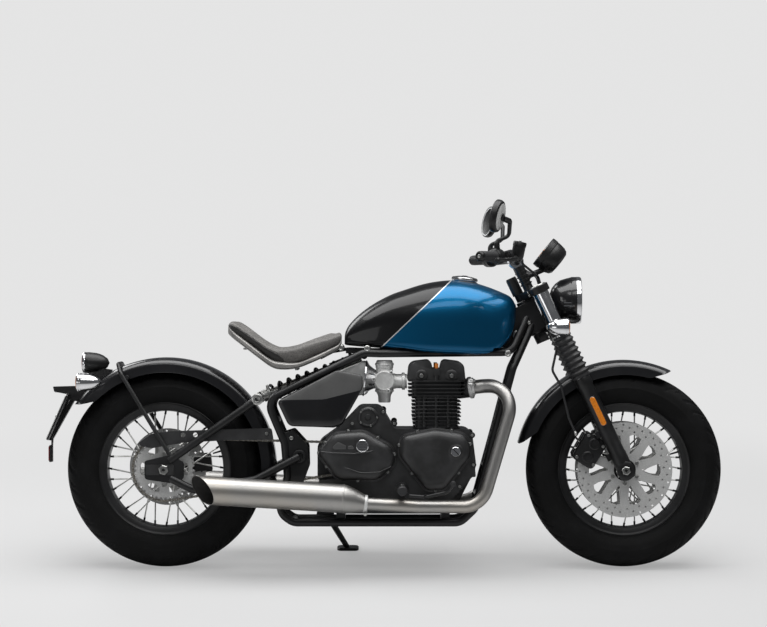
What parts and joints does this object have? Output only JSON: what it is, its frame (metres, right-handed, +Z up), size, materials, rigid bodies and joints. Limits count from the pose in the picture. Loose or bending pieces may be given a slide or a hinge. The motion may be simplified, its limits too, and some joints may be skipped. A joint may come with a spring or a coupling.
{
  "type": "bobber motorcycle",
  "caption": "Low single-seat motorcycle with fat spoked wheels, a caged rear end and slash-cut silencers, resting on its side stand.",
  "frame": {"origin": "centre of the bounding box's bottom face, on the ground", "axes": "+X forward, +Y to the rider's left, +Z up; the machine leans 10 degrees to its left on the stand"},
  "size_m": [2.2067, 0.8394, 1.2358],
  "materials": {
    "black_frame": "satin",
    "black_engine": "matte",
    "silver_cast": "satin",
    "brushed_pipe": "brushed",
    "bright_metal": "polished",
    "steel": "satin",
    "tank_paint": "gloss",
    "black_paint": "gloss",
    "seat_cover": "matte",
    "pan_metal": "satin",
    "black_plastic": "matte",
    "rubber": "matte",
    "tyre": "matte",
    "plate_blank": "satin"
  },
  "bodies": {
    "chassis": {"frame": "black_frame", "swingarm": "black_frame", "rear_shock": "black_frame", "crankcase": "black_engine", "engine_covers": "black_engine", "cylinder_block": "black_engine", "cylinder_head": "black_engine", "intake": "silver_cast", "radiator": "black_engine", "header_pipes": "brushed_pipe", "silencers": "brushed_pipe", "fuel_tank": "tank_paint", "seat": "seat_cover", "seat_pan": "pan_metal", "side_covers": "black_paint", "rear_fender": "black_paint", "rear_lamps": "black_plastic", "plate_holder": "plate_blank", "chain_guard": "black_paint", "drive_chain": "steel", "foot_controls": "black_frame", "rear_axle": "steel"},
    "steering": {"fork_yokes": "black_frame", "fork_tubes": "bright_metal", "fork_legs": "black_paint", "fork_gaiters": "rubber", "handlebar": "black_frame", "hand_controls": "black_plastic", "mirrors": "black_plastic", "headlamp": "black_plastic", "instrument": "black_plastic", "front_indicators": "bright_metal", "front_fender": "black_paint", "brake_calipers": "black_engine", "front_axle": "steel", "brake_hose": "rubber"},
    "front_wheel": {"front_tyre": "tyre", "front_rim": "black_frame", "front_discs": "steel"},
    "rear_wheel": {"rear_tyre": "tyre", "rear_rim": "black_frame", "rear_disc": "steel", "rear_sprocket": "steel"},
    "side_stand": {"side_stand": "black_frame"}
  },
  "joints": [
    {"name": "steering_axis", "type": "hinge", "parent": "chassis", "child": "steering", "pos_m": [0.4863, -0.02451, 0.80939], "axis": [-0.4289, 0.1569, 0.8896], "range_deg": [-33, 33]},
    {"name": "front_wheel_spin", "type": "hinge", "parent": "steering", "child": "front_wheel", "pos_m": [0.784, -0.11146, 0.31629], "axis": [0, 0.9848, -0.1736], "continuous": true},
    {"name": "rear_wheel_spin", "type": "hinge", "parent": "chassis", "child": "rear_wheel", "pos_m": [-0.716, -0.11094, 0.31925], "axis": [0, 0.9848, -0.1736], "continuous": true},
    {"name": "side_stand_fold", "type": "hinge", "parent": "chassis", "child": "side_stand", "pos_m": [-0.196, 0.00535, 0.14947], "axis": [0, 0.9848, -0.1736], "range_deg": [0, 106]}
  ]
}
